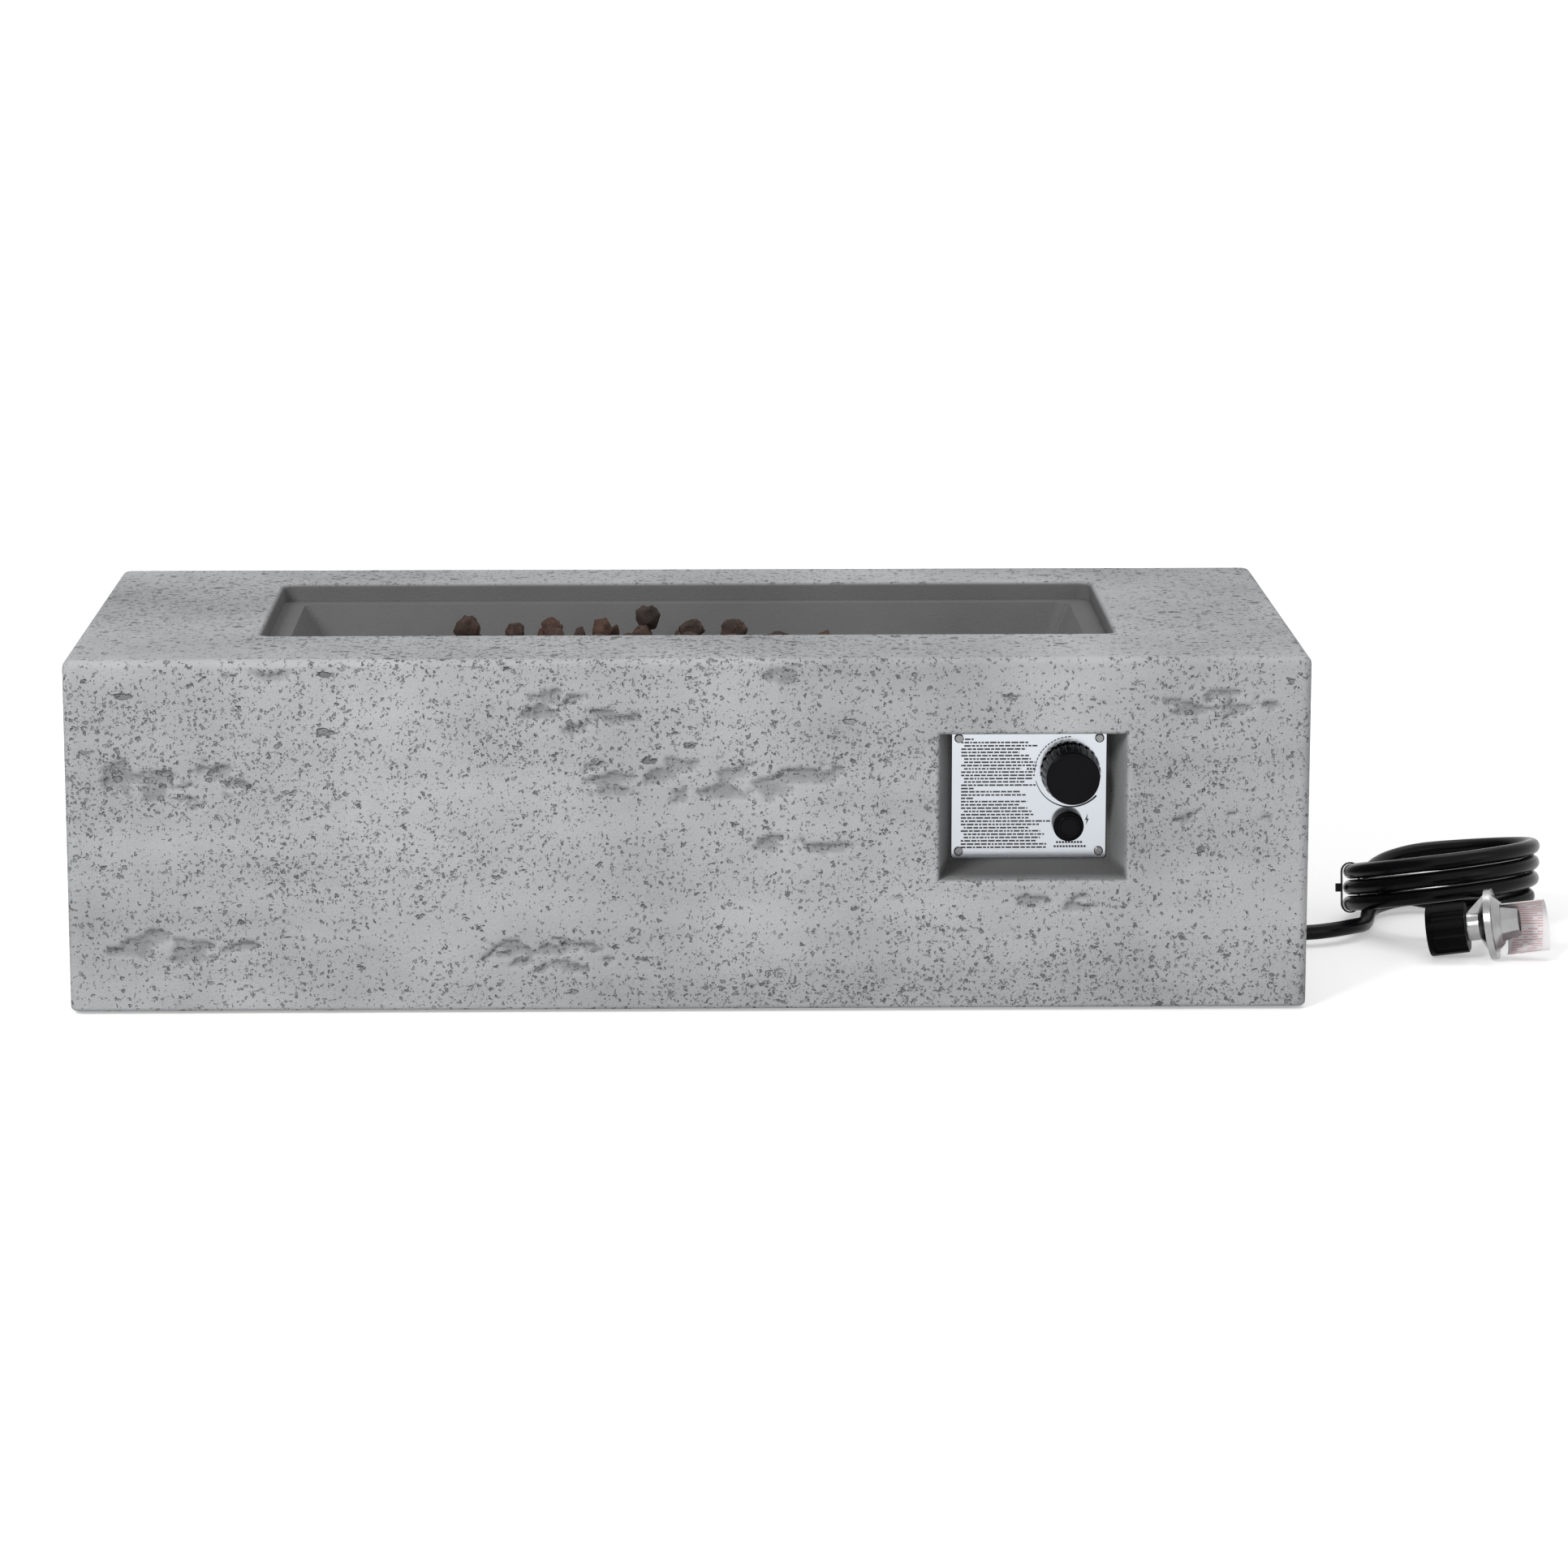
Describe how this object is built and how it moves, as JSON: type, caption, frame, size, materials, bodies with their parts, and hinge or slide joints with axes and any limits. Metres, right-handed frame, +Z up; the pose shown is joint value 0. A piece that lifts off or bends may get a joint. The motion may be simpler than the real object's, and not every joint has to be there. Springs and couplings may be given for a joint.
{
  "type": "gas fire pit",
  "caption": "Rectangular cast fire pit with a rimmed trough of lava rock over a tube burner, a recessed control panel with knob and igniter, and a coiled gas hose with regulator.",
  "frame": {"origin": "centre of the casting's footprint on the ground, without the hose", "axes": "+Z up, +X to the right along the length towards the hose, front with the controls faces -Y"},
  "size_m": [1.322, 0.508, 0.31],
  "materials": {
    "cast_concrete": "cast and pitted, matt",
    "rubber_feet": "matt",
    "stainless_panel": "brushed, printed with plain black marks",
    "steel_fasteners": "bright",
    "black_gloss_plastic": "semi-gloss moulded",
    "black_matte_plastic": "moulded, satin",
    "brass_fittings": "machined",
    "cast_aluminium": "die-cast",
    "battery_cell": "plain wrapper",
    "burner_steel": "sheet, heat-tinted",
    "copper_lead": "drawn",
    "ceramic_white": "glazed",
    "wire_sheath": "satin",
    "supply_aluminium": "drawn tube",
    "lava_stone": "porous, rough",
    "hose_rubber": "smooth, satin",
    "crimp_steel": "zinc plated",
    "cast_zinc": "die-cast, matt",
    "tag_paper": "blank coated paper"
  },
  "bodies": {
    "fire_pit": {"burner_saddles": "burner_steel", "burner_tray": "burner_steel", "burner_tube": "burner_steel", "concrete_body": "cast_concrete", "control_niche": "cast_concrete", "control_panel": "stainless_panel", "electrode_ceramic": "ceramic_white", "electrode_rod": "burner_steel", "foot_back_left": "rubber_feet", "foot_back_right": "rubber_feet", "foot_front_left": "rubber_feet", "foot_front_right": "rubber_feet", "gas_injector": "brass_fittings", "hose_coil": "hose_rubber", "hose_ferrule": "crimp_steel", "hose_grommet": "hose_rubber", "hose_inner": "hose_rubber", "hose_lead": "hose_rubber", "hose_tie": "black_matte_plastic", "igniter_battery": "battery_cell", "igniter_housing": "black_matte_plastic", "igniter_lead": "wire_sheath", "igniter_nut": "black_matte_plastic", "igniter_spring": "steel_fasteners", "inlet_fitting": "brass_fittings", "inlet_nipple": "brass_fittings", "lava_rocks": "lava_stone", "magnet_unit": "brass_fittings", "mixer_nut": "brass_fittings", "mixer_tube": "burner_steel", "outlet_barb": "brass_fittings", "outlet_fitting": "brass_fittings", "panel_screws": "steel_fasteners", "paper_tag": "tag_paper", "regulator_body": "cast_zinc", "regulator_bonnet": "cast_zinc", "regulator_cap": "cast_zinc", "regulator_diaphragm": "hose_rubber", "sensor_bracket": "burner_steel", "supply_tube": "supply_aluminium", "thermocouple": "burner_steel", "thermocouple_lead": "copper_lead", "trough_basin": "cast_concrete", "valve_body": "cast_aluminium", "valve_bonnet": "cast_aluminium", "valve_screws": "steel_fasteners"},
    "valve_plug": {"valve_plug": "brass_fittings", "stem_spring": "steel_fasteners"},
    "control_knob": {"control_knob": "black_gloss_plastic", "valve_stem": "brass_fittings"},
    "igniter_button": {"igniter_button": "black_gloss_plastic"},
    "coupling_nut": {"coupling_nut": "black_matte_plastic"}
  },
  "joints": [
    {"name": "knob_turn", "type": "hinge", "parent": "fire_pit", "child": "valve_plug", "pos_m": [0.3315, -0.2, 0.1995], "axis": [0, -1, 0], "range_deg": [0, 240]},
    {"name": "knob_push", "type": "slide", "parent": "valve_plug", "child": "control_knob", "axis": [0, 1, 0], "range_m": [0, 0.004], "stiffness_N_per_m": 1500, "springref_m": -0.003, "deforming": ["stem_spring"]},
    {"name": "igniter_push", "type": "slide", "parent": "fire_pit", "child": "igniter_button", "axis": [0, 1, 0], "range_m": [0, 0.004], "stiffness_N_per_m": 1200, "springref_m": -0.003, "deforming": ["igniter_spring"]},
    {"name": "coupling_spin", "type": "hinge", "parent": "fire_pit", "child": "coupling_nut", "pos_m": [0.68519, -0.05257, 0.02586], "axis": [0.9571, -0.2386, 0.1644], "continuous": true}
  ]
}
